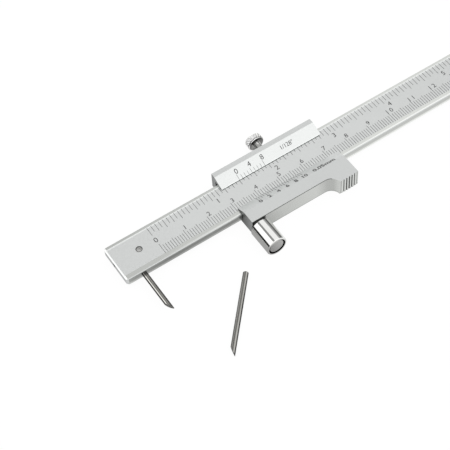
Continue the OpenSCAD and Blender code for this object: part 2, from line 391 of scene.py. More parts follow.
@dataclass(frozen=True)
class SliderSteel(PlatedSteel):
    """The slider: blasted faces and a brushed front, with painted shade in its channel, hollow, foot, end and
    grip grooves, and painted highlights on its lip edge and grip.
    """

    face: float = 0.64
    side: float = 0.58
    front_y: Edge = (-6.42, 0.04)
    top_z: Edge = (2.38, 0.02)
    slant: float = 0.7
    slant_y: Band = (-1.3, 3.1, 0.1)
    slant_z: Edge = (0.28, 0.04)
    # Painted shade: the channel round the beam is near black.
    channel: float = 0.05
    channel_y: Band = (-0.33, 17.33, 0.04)
    channel_z: Band = (-3.36, 0.08, 0.04)
    # A painted highlight on the edge face of the upper lip.
    lip_gain: float = 0.34
    lip_y: Band = (12.95, 13.1, 0.06)
    lip_z: Band = (0.08, 0.33, 0.04)
    # Painted shade in the hollow of the front, along its foot and on the left end next to the beam.
    hollow_loss: float = 0.24
    hollow_from: Edge = (60.3, 4.6)
    hollow_to: Edge = (65.4, 1.4)
    foot_loss: float = 0.22
    foot_y: Edge = (-6.0, 0.1)
    foot_z: Edge = (-4.35, 0.7)
    end_loss: float = 0.77
    end_x: Edge = (30.64, 0.04)
    end_from: Edge = (-3.0, 7.0)
    end_to: Edge = (11.0, 0.5)
    grip: tuple[float, float] = (69.8, -10.2)
    grip_r: float = 32.125
    # A painted highlight that lifts the thumb grip.
    grip_gain: float = 0.14
    grip_x: Edge = (65.9, 0.02)
    grip_y: Edge = (-9.6, 0.02)
    grip_z: Edge = (2.37, 0.04)
    groove: float = 0.36
    groove_share: Edge = (0.2, 0.26)
    # Level of the painted shade in the grip's grooves.
    dirt: float = 0.1

    def levels(self, at: Spot) -> Levels:
        """Face and front, then the channel round the beam, then the hollow and the thumb grip.

        Args:
            at: Work X, Y and Z, in millimetres.

        Returns:
            The level, and masks that are 1 on ground faces and on polished edges.
        """
        x, y, z = at
        under_top = z.below(*self.top_z)
        front = y.below(*self.front_y) * under_top
        level = front * (self.side - self.face) + self.face
        slant = y.within(*self.slant_y) * z.above(*self.slant_z) * under_top
        level = level + slant * (self.slant - self.face)
        # Painted shade inside the channel round the beam.
        level = level.toward(self.channel, y.within(*self.channel_y) * z.within(*self.channel_z))
        # Painted highlight on the upper lip's edge face.
        level = level + y.within(*self.lip_y) * z.within(*self.lip_z) * self.lip_gain
        # Painted shade in the hollow and along the foot of the front.
        hollow = x.above(*self.hollow_from) * x.below(*self.hollow_to) * front
        foot = z.below(*self.foot_z) * y.below(*self.foot_y)
        level = level * (1 - hollow * self.hollow_loss) * (1 - foot * self.foot_loss)
        # Painted shade on the left end, next to the beam.
        end = x.below(*self.end_x) * y.above(*self.end_from) * y.below(*self.end_to)
        level = level * (1 - end * self.end_loss)
        reach = (x - self.grip[0]).span(y - (self.grip[1] + self.grip_r))
        grip = y.below(*self.grip_y) * x.above(*self.grip_x) * z.below(*self.grip_z)
        # Painted shade in the bottoms of the grip's grooves.
        dirt = ((self.grip_r - reach) / self.groove).above(*self.groove_share) * grip
        # Painted highlight on the thumb grip.
        level = level * (grip * self.grip_gain + 1)
        return level.toward(self.dirt, dirt), front * (1 - dirt), 0.0


@dataclass(frozen=True)
class WornEdge(PlatedSteel):
    """A broken edge of the slider, much darker than its faces."""

    level: float = 0.1
    gain: float = 0.04

    def levels(self, at: Spot) -> Levels:
        """A dark ground finish with brighter diagonal stripes."""
        return (at[0] * 0.35 + at[1] * 0.2).ridge() * self.gain + self.level, 1.0, 0.0


class Lathe(Enum):
    """Which way the axis of a turned piece points, as the places of along, across and up in X, Y, Z."""

    ALONG_Y = (1, 0, 2)
    ALONG_Z = (2, 0, 1)


@dataclass(frozen=True)
class Zone:
    """A ring-shaped part of a turned piece that is painted brighter or darker than the rest, as painted shade
    or a painted highlight.

    It reaches over two distances from the axis and two along it, in millimetres. With a fan, its factor swings
    round the axis as a painted reflection, and is highest at fan_turn, in degrees.
    """

    radius: tuple[float, float]
    along: tuple[float, float]
    factor: float
    fan: float = 0.0
    fan_turn: float = 0.0


@dataclass(frozen=True)
class TurnedSteel:
    """Steel that was turned or ground on a lathe, with fine rings round its axis."""

    name: str
    level: float
    roughness: float
    ring_pitch: float = 0.12
    ring_height: float = 0.000002
    streak: float = 0.06
    zones: tuple[Zone, ...] = ()

    def make(self, origin: Vector, axis: Lathe = Lathe.ALONG_Y) -> Material:
        """Builds the material.

        Args:
            origin: A point on the axis, in metres.
            axis: Which way the axis points.

        Returns:
            The material.
        """
        shader = Shader(self.name)
        spot = shader.place(origin)
        parts = shader.parts(spot)
        along, across, up = (parts[i] for i in axis.value)
        radius = across.span(up)
        rings = ((radius + along) / self.ring_pitch).ridge()
        uneven = shader.noise(shader.vector(radius, along), 14.0, 3.0)
        cloud = shader.noise(spot, 0.9)
        level = (uneven - 0.5) * self.streak + (cloud - 0.5) * (self.streak / 2) + self.level
        # Each zone paints shade or a highlight onto the level.
        for zone in self.zones:
            factor = 1 - zone.factor
            if zone.fan:
                factor = factor - (up.turn(across) - math.radians(zone.fan_turn)).cosine() * zone.fan
            level = level * (1 - radius.within(*zone.radius) * along.within(*zone.along) * factor)
        rough = (uneven - 0.5) * (self.roughness * 0.6) + self.roughness
        normal = shader.bump(rings * 0.5 + uneven * 0.5, self.ring_height, 0.6)
        return shader.surface(shader.colour(level, level, level * 0.98), rough, 1.0, normal)


@dataclass(frozen=True)
class RodSteel:
    """Hardened ground rod along Y, with marks along its length and painted highlight and shade lines.

    Each line has its turn from +Z, its half width in degrees and what it adds to the level. The rod is darker
    over a length, in millimetres, where it leaves its bore at Y = 0, a painted shade.
    """

    name: str
    level: float
    roughness: float
    marks: float = 0.5
    grain: float = 0.4
    lines: tuple[Point, ...] = ()
    soiled: float = 0.0
    drawn: Point = (4.0, 0.05, 4.0)
    relief: float = 0.000008

    def make(self, origin: Vector, turn: float = 0.0) -> Material:
        """Builds the material.

        Args:
            origin: A point on the rod's axis, in metres.
            turn: Turn of the rod about Z from the Y axis, in radians.

        Returns:
            The material.
        """
        shader = Shader(self.name)
        spot = shader.place(origin)
        turned = shader.get("ShaderNodeMapping", {}, {"Vector": spot, "Rotation": (0.0, 0.0, -turn)})
        x, y, z = shader.parts(turned)
        marks = shader.noise(shader.vectors("MULTIPLY", turned, self.drawn), 1.0, 3.0)
        fine = shader.noise(spot, 6.0, 3.0)
        level = ((marks - 0.5) * self.marks * 2 + (fine - 0.5) * self.grain + 1.0) * self.level
        # Each line paints a highlight or a shade line along the rod.
        for place, width, gain in self.lines:
            line = 1 - ((x.turn(z) * (180 / math.pi) - place).absolute() / width).lower(1)
            level = level + (line * 1.6).lower(1) * (fine * 0.3 + 0.85) * gain
        # Painted shade where the rod leaves its bore.
        if self.soiled:
            level = level * (1 - y.above(-self.soiled, 0.9) * y.below(0.4, 0.2) * 0.75)
        rough = (marks - 0.5) * 0.12 + (fine - 0.5) * 0.1 + self.roughness
        normal = shader.bump(marks, self.relief, 0.6)
        return shader.surface(shader.colour(level, level * 0.99, level * 0.93), rough, 1.0, normal)


@dataclass(frozen=True)
class EngravedPaint:
    """Dark paint that fills the engraved marks and numbers, a little worn."""

    name: str
    level: float = 0.05
    worn: float = 0.16
    relief: float = 0.000008

    def make(self, origin: Vector) -> Material:
        """Builds the material.

        Args:
            origin: The zero of the scales in the row frame.

        Returns:
            The material.
        """
        shader = Shader(self.name)
        spot = shader.place(origin)
        fine = shader.noise(spot, 16.0)
        wear = (shader.noise(spot, 2.2, 3.0) * 0.7 + fine * 0.3).above(0.55, 0.3)
        colour = shader.get("ShaderNodeMix", {"data_type": "RGBA"},
                            {0: wear, 6: grey(self.level), 7: grey(self.worn)}, 2)
        return shader.surface(colour, fine * 0.2 + 0.4, 0.0, shader.bump(fine, self.relief, 0.5))


# ---- places and meshes


@dataclass(frozen=True)
class WorkFrame:
    """Turns work coordinates into places in the row frame."""

    origin: Vector

    def at(self, x: float, y: float, z: float) -> Vector:
        """A point of the row frame, in metres, from work coordinates in millimetres."""
        return self.origin + Vector((x, y, z)) * MM

    def plane(self, x: float, y: float, z: float, slope: float = 0.0, turned: bool = False) -> Matrix:
        """Where a flat drawing in millimetres lies on a face.

        Args:
            x: Work X of the drawing's origin.
            y: Work Y of the drawing's origin.
            z: Work Z of the drawing's origin.
            slope: Turn of the face about X, in radians, from the flat face.
            turned: True to turn the drawing half round on its face.

        Returns:
            The matrix from the drawing to the row frame.
        """
        turn = Matrix.Rotation(slope, 4, "X") @ Matrix.Rotation(math.pi * turned, 4, "Z")
        return Matrix.Translation(self.at(x, y, z)) @ turn @ Matrix.Scale(MM, 4)


def work_frame() -> WorkFrame:
    """The work frame, from the box of the beam."""
    low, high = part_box("beam")
    return WorkFrame(Vector((low.x + ZERO_X * MM, low.y, high.z)))


def turned_box(node: str) -> tuple[Vector, Vector, float, float]:
    """Measures a CAD node that is turned round an axis along Y.

    Args:
        node: Name of the node.

    Returns:
        The ends of its axis, in metres, and its radius and length, in millimetres.
    """
    low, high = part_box(node)
    near, far = (Vector(((low.x + high.x) / 2, y, (low.z + high.z) / 2)) for y in (low.y, high.y))
    return near, far, (high.x - low.x) / 2 / MM, (high.y - low.y) / MM


def along_y(start: Vector, backwards: bool = False) -> Matrix:
    """The matrix from a turned shape in millimetres to its start in the row frame."""
    turn = Matrix.Rotation(math.pi * backwards, 4, "X")
    return Matrix.Translation(start) @ turn @ Matrix.Scale(MM, 4)


def linked(name: str, data: bpy.types.ID) -> bpy.types.Object:
    """A new object of that name and data, linked to the scene."""
    bpy.context.scene.collection.objects.link(made := bpy.data.objects.new(name, data))
    return made


def plain_mesh(piece: bpy.types.Object) -> Mesh:
    """Makes a plain mesh of an object's evaluated shape.

    Args:
        piece: The object, which is removed.

    Returns:
        The mesh.
    """
    bpy.context.view_layer.update()
    graph = bpy.context.evaluated_depsgraph_get()
    mesh = bpy.data.meshes.new_from_object(piece.evaluated_get(graph), depsgraph=graph)
    bpy.data.objects.remove(piece)
    return mesh


def show(name: str, mesh: Mesh, body: str, material: Material | None = None,
         replaced: str = "", sharp: float = 0.0) -> None:
    """Links a finished mesh as a piece.

    Args:
        name: Name of the piece.
        mesh: Its mesh, in the row frame.
        body: The body that it rides on.
        material: Its material, if the mesh has none yet.
        replaced: The CAD node that it stands for.
        sharp: Edges sharper than this, in degrees, stay sharp. At 0 the whole piece stays flat.
    """
    piece = linked(name, mesh)
    if sharp:
        mesh.shade_smooth()
        mesh.set_sharp_from_angle(angle=math.radians(sharp))
    if material:
        mesh.materials.clear()
        mesh.materials.append(material)
    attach(piece, body)
    if replaced:
        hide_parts(replaced)
    LOG.info("%s rides on %s, %d faces", name, body, len(mesh.polygons))


def dress(node: str, material: Material) -> None:
    """Gives a CAD node that stays its material.

    Args:
        node: Name of the node.
        material: The material for all its faces.
    """
    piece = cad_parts[node]
    if not piece.material_slots:
        piece.data.materials.append(material)
    for slot in piece.material_slots:
        slot.material = material
    LOG.info("%s keeps its solid, %d faces", node, len(piece.data.polygons))


def merged(mesh: Mesh, distance: float) -> bmesh.types.BMesh:
    """Opens a copy of a mesh and merges its doubled points.

    Args:
        mesh: The mesh.
        distance: Points that are closer than this become one.

    Returns:
        The open copy.
    """
    shape = bmesh.new()
    shape.from_mesh(mesh)
    bmesh.ops.remove_doubles(shape, verts=shape.verts, dist=distance)
    return shape


def closed(shape: bmesh.types.BMesh, name: str) -> Mesh:
    """Turns an open shape into a mesh.

    Args:
        shape: The open shape, which is freed.
        name: Name of the mesh.

    Returns:
        The mesh.
    """
    mesh = bpy.data.meshes.new(name)
    shape.to_mesh(mesh)
    shape.free()
    return mesh


def eased(node: str, picks: Callable[[Vector, Vector], bool] | None = None,
          width: float = 0.0) -> Mesh:
    """Copies a CAD node's mesh, and breaks some of its sharp edges where asked.

    Args:
        node: Name of the node.
        picks: Tells from the two ends of an edge, in the row frame, whether it is broken.
        width: How far the small face reaches on each side of the edge, in metres.

    Returns:
        The new mesh. The small faces along broken edges carry its second material.
    """
    shape = merged(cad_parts[node].data, MERGE)
    bmesh.ops.dissolve_limit(shape, angle_limit=FLAT, verts=shape.verts, edges=shape.edges)
    if picks:
        sharp = [edge for edge in shape.edges if edge.is_manifold and edge.calc_face_angle() > SHARP
                 and picks(edge.verts[0].co, edge.verts[1].co)]
        bmesh.ops.bevel(shape, geom=sharp, offset=width, offset_type="OFFSET", segments=1, profile=0.5,
                        affect="EDGES", clamp_overlap=False, material=1)
    mesh = closed(shape, node)
    for stale in [layer for layer in mesh.attributes if layer.name in ("custom_normal", "sharp_face")]:
        mesh.attributes.remove(stale)
    return mesh


def softened(profile: Profile, radius: float, steps: int = 4) -> Profile:
    """Rounds the corners of a profile, apart from its ends.

    Args:
        profile: The profile.
        radius: Length that each corner takes from its two sides.
        steps: Points on each rounded corner.

    Returns:
        The rounded profile.
    """
    rounded = [profile[0]]
    for before, corner, after in zip(profile, profile[1:], profile[2:]):
        a, c, b = Vector(before), Vector(corner), Vector(after)
        cut = min(radius, (a - c).length / 2.2, (b - c).length / 2.2)
        start, end = c + (a - c).normalized() * cut, c + (b - c).normalized() * cut
        for step in range(steps + 1):
            t = step / steps
            point = start * (1 - t) ** 2 + c * (2 * t * (1 - t)) + end * t ** 2
            rounded.append((point.x, point.y))
    return rounded + [profile[-1]]


def softened_ring(profile: Profile) -> Profile:
    """Rounds all the corners of a profile that closes on itself."""
    return softened(profile[-1:] + profile + profile[:1], 0.09)[1:-1]


def spaced(profile: Profile, low: float, high: float, step: float) -> Profile:
    """Adds points to the long straight parts of a profile.

    Args:
        profile: The profile.
        low: Start of the stretch along the axis.
        high: End of the stretch.
        step: Longest distance between points there.

    Returns:
        The profile with more points.
    """
    made = [profile[0]]
    for (r0, a0), (r1, a1) in zip(profile, profile[1:]):
        inside = min(a0, a1) >= low - MERGE and max(a0, a1) <= high + MERGE
        count = max(1, math.ceil(math.hypot(r1 - r0, a1 - a0) / step)) if inside and r0 > 0 and r1 > 0 else 1
        for part in range(1, count + 1):
            t = part / count
            made.append((r0 + (r1 - r0) * t, a0 + (a1 - a0) * t))
    return made


def revolved(profile: Profile, segments: int, place: Matrix | None = None) -> Mesh:
    """Turns a profile round the Y axis.

    Args:
        profile: The profile. One that starts and ends off the axis is closed into a ring.
        segments: Faces round the axis.
        place: Where the shape goes in the row frame. Without it, it stays in millimetres.

    Returns:
        A closed mesh whose faces point outwards.
    """
    shape = bmesh.new()
    turns = [2 * math.pi * i / segments for i in range(segments)]
    rows = []
    for radius, along in profile:
        if radius <= 0:
            rows.append([shape.verts.new((0.0, along, 0.0))] * segments)
            continue
        rows.append([shape.verts.new((radius * math.cos(t), along, radius * math.sin(t))) for t in turns])
    pairs = list(zip(rows, rows[1:])) + ([(rows[-1], rows[0])] if profile[0][0] > 0 else [])
    for first, second in pairs:
        for i in range(segments):
            j = (i + 1) % segments
            corners = list(dict.fromkeys((first[i], first[j], second[j], second[i])))
            if len(corners) > 2:
                shape.faces.new(corners)
    bmesh.ops.recalc_face_normals(shape, faces=shape.faces)
    mesh = closed(shape, "turned")
    if place:
        mesh.transform(place)
    return mesh


def joined(meshes: list[tuple[Mesh, Matrix]]) -> Mesh:
    """Makes one mesh of several, each at its own place.

    Args:
        meshes: The meshes and their places.

    Returns:
        One mesh.
    """
    shape = bmesh.new()
    for mesh, place in meshes:
        mesh.transform(place)
        shape.from_mesh(mesh)
        bpy.data.meshes.remove(mesh)
    return closed(shape, "joined")


# ---- repeated shapes


class NodeTool:
    """A Geometry Nodes tree with named inputs, run once on a mesh."""

    def __init__(self, name: str, whole: tuple[str, ...], real: tuple[str, ...]) -> None:
        """Starts the tree, whose last input is always its material.

        Args:
            name: Name of the tree.
            whole: Names of the inputs that are whole numbers.
            real: Names of the inputs that are any numbers.
        """
        self.tree = bpy.data.node_groups.new(name, "GeometryNodeTree")
        self.graph = Graph(self.tree)
        sockets = self.tree.interface
        kinds = {label: "NodeSocketInt" for label in whole} | {label: "NodeSocketFloat" for label in real}
        sockets.new_socket("Mesh", in_out="INPUT", socket_type="NodeSocketGeometry")
        self.keys = {label: sockets.new_socket(label, in_out="INPUT", socket_type=kind).identifier
                     for label, kind in (kinds | {"Finish": "NodeSocketMaterial"}).items()}
        sockets.new_socket("Mesh", in_out="OUTPUT", socket_type="NodeSocketGeometry")
        self.start = self.graph.node("NodeGroupInput")

    def given(self, label: str) -> Wire:
        """A named input of the tree as a wire."""
        return self.graph.wire(self.start, label)

    def end(self, shape: Wire) -> None:
        """Ends the tree in real geometry with its material.

        Args:
            shape: The geometry.
        """
        real = self.graph.get("GeometryNodeRealizeInstances", {}, {0: shape})
        finish = {"Geometry": real, "Material": self.given("Finish")}
        self.graph.node("NodeGroupOutput", {}, {0: self.graph.get("GeometryNodeSetMaterial", {}, finish)})

    def run(self, mesh: Mesh, values: dict) -> Mesh:
        """Runs the tree on a mesh.

        Args:
            mesh: The mesh to start from.
            values: Value by the name of each input.

        Returns:
            The result as a plain mesh.
        """
        carrier = linked("carrier", mesh)
        modifier = carrier.modifiers.new("shape", "NODES")
        modifier.node_group = self.tree
        for label, value in values.items():
            modifier[self.keys[label]] = value
        return plain_mesh(carrier)


class MarkRow(NodeTool):
    """A row of scale marks along X that stand on a common line and differ in length."""

    def __init__(self) -> None:
        """Builds the tree: a line of points, a mark on each and its length from its number."""
        super().__init__("scale_marks", ("Count", "Middle Every", "Long Every"),
                         ("Pitch", "Width", "Thickness", "Short", "Middle", "Long"))
        graph, given = self.graph, self.given
        line = graph.get("GeometryNodeMeshLine", {}, {
            "Count": given("Count"), "Offset": graph.vector(given("Pitch"))})
        number = graph.get("GeometryNodeInputIndex")
        middle = 1 - (number % given("Middle Every")).lower(1)
        long = 1 - (number % given("Long Every")).lower(1)
        short, medium, full = given("Short"), given("Middle"), given("Long")
        length = short + (medium - short) * middle * (1 - long) + (full - short) * long
        block = graph.get("GeometryNodeMeshCube", {}, {"Size": (1.0, 1.0, 1.0)})
        based = graph.get("GeometryNodeTransform", {}, {"Geometry": block, "Translation": (0.0, 0.5, 0.0)})
        self.end(graph.get("GeometryNodeInstanceOnPoints", {}, {
            "Points": line, "Instance": based,
            "Scale": graph.vector(given("Width"), length, given("Thickness"))}))

    def draw(self, count: int, pitch: float, width: float, lengths: Point, every: tuple[int, int],
             paint: Material) -> Mesh:
        """Draws one row.

        Args:
            count: How many marks it has.
            pitch: Their distance, in millimetres.
            width: Their width.
            lengths: Length of a short, a middle and a long mark.
            every: How many marks apart the middle and the long ones stand.
            paint: Their paint.

        Returns:
            The row as a mesh, in millimetres.
        """
        values = (count, *every, pitch, width, PROUD, *lengths, paint)
        return self.run(bpy.data.meshes.new("start"), dict(zip(self.keys, values)))


class WrappedCuts(NodeTool):
    """Cuts round a turned bar: one helix for a thread, or two crossed sets for a knurl."""

    def __init__(self) -> None:
        """Builds the tree, which pushes the outer surface in along one or two sets of grooves."""
        super().__init__("wrapped_cuts", (), ("From", "To", "Core", "Grooves", "Lead", "Depth", "Crossed"))
        graph, given = self.graph, self.given
        x, y, z = graph.parts(graph.get("GeometryNodeInputPosition"))
        radius = x.span(z).higher(0.001)
        turn = z.turn(x) / (2 * math.pi) * given("Grooves")
        rise = y / given("Lead")
        one, other = (turn + rise).ridge(), (turn - rise).ridge()
        other = other * given("Crossed") + (1 - given("Crossed"))
        fade, shell = 0.12, 0.02
        inside = ((y - given("From")) / fade).clamped() * ((given("To") - y) / fade).clamped()
        outside = ((radius - given("Core")) / shell).clamped()
        push = (1 - one.lower(other)) * given("Depth") * inside * outside / radius
        self.end(graph.get("GeometryNodeSetPosition", {}, {
            "Geometry": given("Mesh"), "Offset": graph.vector(x * push * -1, 0.0, z * push * -1)}))


def bolder(mesh: Mesh, weight: float) -> Mesh:
    """Widens the strokes of a flat figure, and keeps its eyes open.

    Args:
        mesh: The figure, extruded along Z, with letters of size 1.
        weight: How far its outline moves outwards.

    Returns:
        A new mesh with no doubled points.
    """
    shortest, upright, sharpest = 0.006, 0.5, 0.3
    shape = merged(mesh, shortest)
    shape.normal_update()
    moves = []
    for vertex in shape.verts:
        walls = [near.normal for near in vertex.link_faces if abs(near.normal.z) < upright]
        mitre = max(1 + walls[0].dot(walls[-1]), sharpest)
        moves.append(sum(walls, Vector()) * weight / mitre * 2 / len(walls))
    for vertex, move in zip(shape.verts, moves):
        vertex.co += move
    return closed(shape, "number")


@dataclass
class Numbers:
    """Writes numbers as thin plates on a face."""

    weight: float
    spacing: float = 1.0
    meshes: list[tuple[Mesh, Matrix]] = field(default_factory=list)

    def write(self, text: str, height: float, x: float, y: float, face: Matrix, width: float = 0.0) -> None:
        """Adds one number.

        Args:
            text: What is written.
            height: Height of its figures, in millimetres.
            x: Middle of the number along the face, in millimetres.
            y: Middle of the number across the face.
            face: Matrix from the drawing to the row frame.
            width: Width of the whole number, or 0 for the width that the figures have.
        """
        curve = bpy.data.curves.new("number", "FONT")
        curve.body = text
        curve.resolution_u = 4
        curve.extrude = 0.5
        curve.space_character = self.spacing
        mesh = bolder(plain_mesh(linked("number", curve)), self.weight)
        low, high = (Vector(map(pick, zip(*(v.co for v in mesh.vertices)))) for pick in (min, max))
        tall = height / (high.y - low.y)
        wide = width / (high.x - low.x) if width else tall
        shrink = Matrix.Diagonal((wide, tall, PROUD, 1.0)) @ Matrix.Translation((low + high) / -2)
        self.meshes.append((mesh, face @ Matrix.Translation((x, y, 0.0)) @ shrink))

    def row(self, labels: Iterable[int], pitch: float, layout: Point, face: Matrix) -> None:
        """Adds a row of numbers.

        Args:
            labels: The numbers.
            pitch: How far a step of 1 in the number reaches, in millimetres.
            layout: Height of the figures, and how far along and across the face from its own mark
                and from the drawing's origin each number stands.
            face: Matrix from the drawing to the row frame.
        """
        height, along, across = layout
        for label in labels:
            self.write(str(label), height, label * pitch + along, across, face)


# ---- the sub-assemblies


@dataclass
class Beam:
    """The graduated beam with its metric and inch scales."""

    place: WorkFrame
    marks: MarkRow
    bevel: float = 0.4
    field_z: float = -0.15
    field_low: float = 2.15
    field_up: float = 14.75
    mark_width: float = 0.15
    last_mm: int = 220
    last_sixteenth: int = 136
    mm_lengths: Point = (3.45, 3.95, 4.4)
    sixteenth_lengths: Point = (2.75, 3.35, 3.75)
    number_weight: float = 0.002
    spacing: float = 1.4
    zero_layout: Point = (2.1, 0.0, 8.65)
    cm_layout: Point = (1.9, 1.2, 7.25)
    inch_layout: Point = (2.0, 1.6, 10.0)

    def build(self) -> None:
        """Finishes the beam, draws its two scales and flattens the bevel of its left end."""
        body = eased("beam")
        reach = self.bevel + 0.02
        left, limit = self.place.at(-ZERO_X, 0.0, 0.0).x, self.place.at(reach - ZERO_X, 0.0, -reach)
        for point in body.vertices:
            if left < point.co.x < limit.x and point.co.z > limit.z:
                point.co.x = left + (point.co.x - left) * END_BEVEL / self.bevel
        steel = BeamSteel("satin_beam_steel").make(self.place.origin)
        show("beam_plated", body, "beam_frame", steel, "beam", 18.0)
        self._scales()

    def _scales(self) -> None:
        """Draws the marks and numbers of both scales, and their common zero."""
        paint = EngravedPaint("scale_paint").make(self.place.origin)
        sixteenth = INCH / 16
        metric = self.marks.draw(self.last_mm + 1, 1.0, self.mark_width, self.mm_lengths, (5, 10), paint)
        inch = self.marks.draw(
            self.last_sixteenth + 1, sixteenth, self.mark_width, self.sixteenth_lengths, (2, 4), paint)
        end = self.last_sixteenth * sixteenth
        whole = joined([(metric, self.place.plane(0.0, self.field_low, self.field_z)),
                        (inch, self.place.plane(end, self.field_up, self.field_z, turned=True))])
        show("beam_marks", whole, "beam_frame", paint)
        numbers = Numbers(self.number_weight, self.spacing)
        face = self.place.plane(0.0, 0.0, self.field_z)
        numbers.row([0], 0.0, self.zero_layout, face)
        numbers.row(range(1, self.last_mm // 10 + 1), 10.0, self.cm_layout, face)
        numbers.row(range(1, self.last_sixteenth // 16 + 1), INCH, self.inch_layout, face)
        show("beam_numbers", joined(numbers.meshes), "beam_frame", paint)


@dataclass
class Slider:
    """The slider with its two verniers."""

    place: WorkFrame
    marks: MarkRow
    zero: float = 38.2
    top: float = 2.4
    edge_break: float = 0.15
    edge_end: float = 64.5
    edge_side: float = -6.0
    slant_z: float = 0.3
    slant_rise: float = 2.1
    low_edge: float = 2.93
    low_drop: float = 4.05
    low_pitch: float = 0.95
    low_width: float = 0.14
    low_lengths: Point = (1.6, 2.0, 2.45)
    low_weight: float = 0.026
    low_layout: Point = (1.95, 0.25, -3.5)
    low_note: tuple[str, float, float, float] = ("0.05mm", 1.95, 27.5, -3.5)
    low_note_width: float = 9.4
    up_edge: float = 13.04
    up_drop: float = 4.7
    up_pitch: float = INCH * 7 / 128
    up_width: float = 0.112
    up_lengths: Point = (1.5, 1.8, 2.2)
    up_weight: float = 0.002
    up_layout: Point = (2.0, 0.55, 3.3)
    up_note: tuple[str, float, float, float] = ('1/128"', 1.7, 22.4, 2.8)
    up_note_width: float = 5.2

    def build(self) -> None:
        """Finishes the slider and draws its verniers."""
        top = self.place.at(0.0, 0.0, self.top).z - MERGE
        limit = self.place.at(self.edge_end, self.edge_side, 0.0)
        body = eased("slider_body", lambda a, b: min(a.z, b.z) > top and max(a.x, b.x) < limit.x
                     and max(a.y, b.y) < limit.y, self.edge_break * MM)
        for finish in (SliderSteel("satin_slider_steel"), WornEdge("dark_slider_edge")):
            body.materials.append(finish.make(self.place.origin))
        show("slider_body_plated", body, "slider", None, "slider_body", 18.0)
        self._verniers()

    def _verniers(self) -> None:
        """Draws the marks and numbers of both verniers on their slanted lips."""
        paint = EngravedPaint("vernier_paint").make(self.place.origin)
        low = (self.low_edge, self.slant_z, -math.atan2(self.slant_rise, self.low_drop))
        up = (self.up_edge, self.slant_z, math.atan2(self.slant_rise, self.up_drop))
        last_x = self.zero + 20 * self.low_pitch
        metric = self.marks.draw(21, self.low_pitch, self.low_width, self.low_lengths, (2, 4), paint)
        inch = self.marks.draw(9, self.up_pitch, self.up_width, self.up_lengths, (4, 8), paint)
        low_face, up_face = self.place.plane(self.zero, *low), self.place.plane(self.zero, *up)
        whole = joined([(metric, self.place.plane(last_x, *low, turned=True)), (inch, up_face)])
        show("vernier_marks", whole, "slider", paint)
        numbers = Numbers(self.low_weight)
        numbers.row(range(0, 12, 2), 2 * self.low_pitch, self.low_layout, low_face)
        numbers.write(*self.low_note, low_face, self.low_note_width)
        numbers.weight = self.up_weight
        numbers.row(range(0, 12, 4), self.up_pitch, self.up_layout, up_face)
        numbers.write(*self.up_note, up_face, self.up_note_width)
        show("vernier_numbers", joined(numbers.meshes), "slider", paint)


@dataclass
class LockScrew:
    """The lock screw: knurled head, threaded shank and turned faces."""

    cuts: WrappedCuts
    head: float = 2.9
    bevel: float = 0.35
    dish_r: float = 2.3
    dish: float = 0.25
    shank_r: float = 1.4
    tip_bevel: float = 0.2
    rounding: float = 0.06
    thread_step: float = 0.07
    thread_lead: float = 0.5
    knurl_step: float = 0.09
    knurl_lead: float = 0.9
    knurl_grooves: float = 24.0
    depth: float = 0.22
    segments: int = 192

    def build(self) -> None:
        """Turns the screw, cuts its knurl and thread, and finishes it."""
        axis, _, radius, length = turned_box("lock_screw")
        face = length - self.head
        steel = TurnedSteel("bright_screw_steel", 0.94, 0.16, zones=self._zones(radius, length)).make(axis)
        mesh = revolved(self._profile(radius, length), self.segments)
        knurl = {"From": face + self.bevel - 0.08, "To": length - self.bevel + 0.08, "Core": radius - 0.2,
                 "Grooves": self.knurl_grooves, "Lead": self.knurl_lead, "Crossed": 1.0}
        thread = {"From": self.tip_bevel, "To": face - 0.2, "Core": self.shank_r - 0.1,
                  "Grooves": 1.0, "Lead": self.thread_lead, "Crossed": 0.0}
        for cut in (knurl, thread):
            mesh = self.cuts.run(mesh, cut | {"Depth": self.depth, "Finish": steel})
        mesh.transform(along_y(axis))
        show("lock_screw_turned", mesh, "lock", steel, "lock_screw", 40.0)

    def _profile(self, radius: float, length: float) -> Profile:
        """The screw's outline, from its tip to the top of its head.

        Args:
            radius: Radius of the head, in millimetres.
            length: Length of the screw.

        Returns:
            The outline, with points close enough for thread and knurl.
        """
        face = length - self.head
        profile = softened([
            (0.0, 0.0), (self.shank_r - self.tip_bevel, 0.0), (self.shank_r, self.tip_bevel),
            (self.shank_r, face + self.dish), (self.dish_r, face + self.dish),
            (self.dish_r + self.dish, face), (radius - self.bevel, face), (radius, face + self.bevel),
            (radius, length - self.bevel), (radius - self.bevel, length), (0.0, length)], self.rounding, 2)
        profile = spaced(profile, self.tip_bevel, face + self.dish, self.thread_step)
        return spaced(profile, face + self.bevel - 0.1, length - self.bevel + 0.1, self.knurl_step)

    def _zones(self, radius: float, length: float) -> tuple[Zone, ...]:
        """The painted shade and highlights of the screw, most of them brighter on one side as a painted
        reflection.

        Args:
            radius: Radius of the head, in millimetres.
            length: Length of the screw.

        Returns:
            The zones.
        """
        face, past = length - self.head, radius + 0.1
        start, end = face + self.bevel, length - self.bevel
        knurl = (start + 0.05, end - 0.05)
        # Painted shade on the dished face, a painted highlight on the front bevel, painted shade where the
        # knurl starts, on the shank and in the knurl's grooves, and a painted reflection that swings round the
        # knurl.
        dark_face = Zone((self.shank_r + 0.1, radius - 0.3), (face - 0.1, face + self.dish + 0.1),
                         0.17, 0.15, -90.0)
        front_bevel = Zone((radius - 0.3, past), (face - 0.1, start - 0.06), 0.75, 0.5, 140.0)
        knurl_start = Zone((radius - 0.6, past), (start - 0.1, start + 0.24), 0.12)
        shank = Zone((0.0, self.shank_r + 0.06), (-0.1, face + self.dish), 0.3, 0.3, 70.0)
        knurl_groove_shade = Zone((radius - 0.6, radius - 0.18), knurl, 0.2)
        knurl_sides = Zone((radius - 0.7, past), knurl, 0.95, 0.3, 140.0)
        return dark_face, front_bevel, knurl_start, shank, knurl_groove_shade, knurl_sides


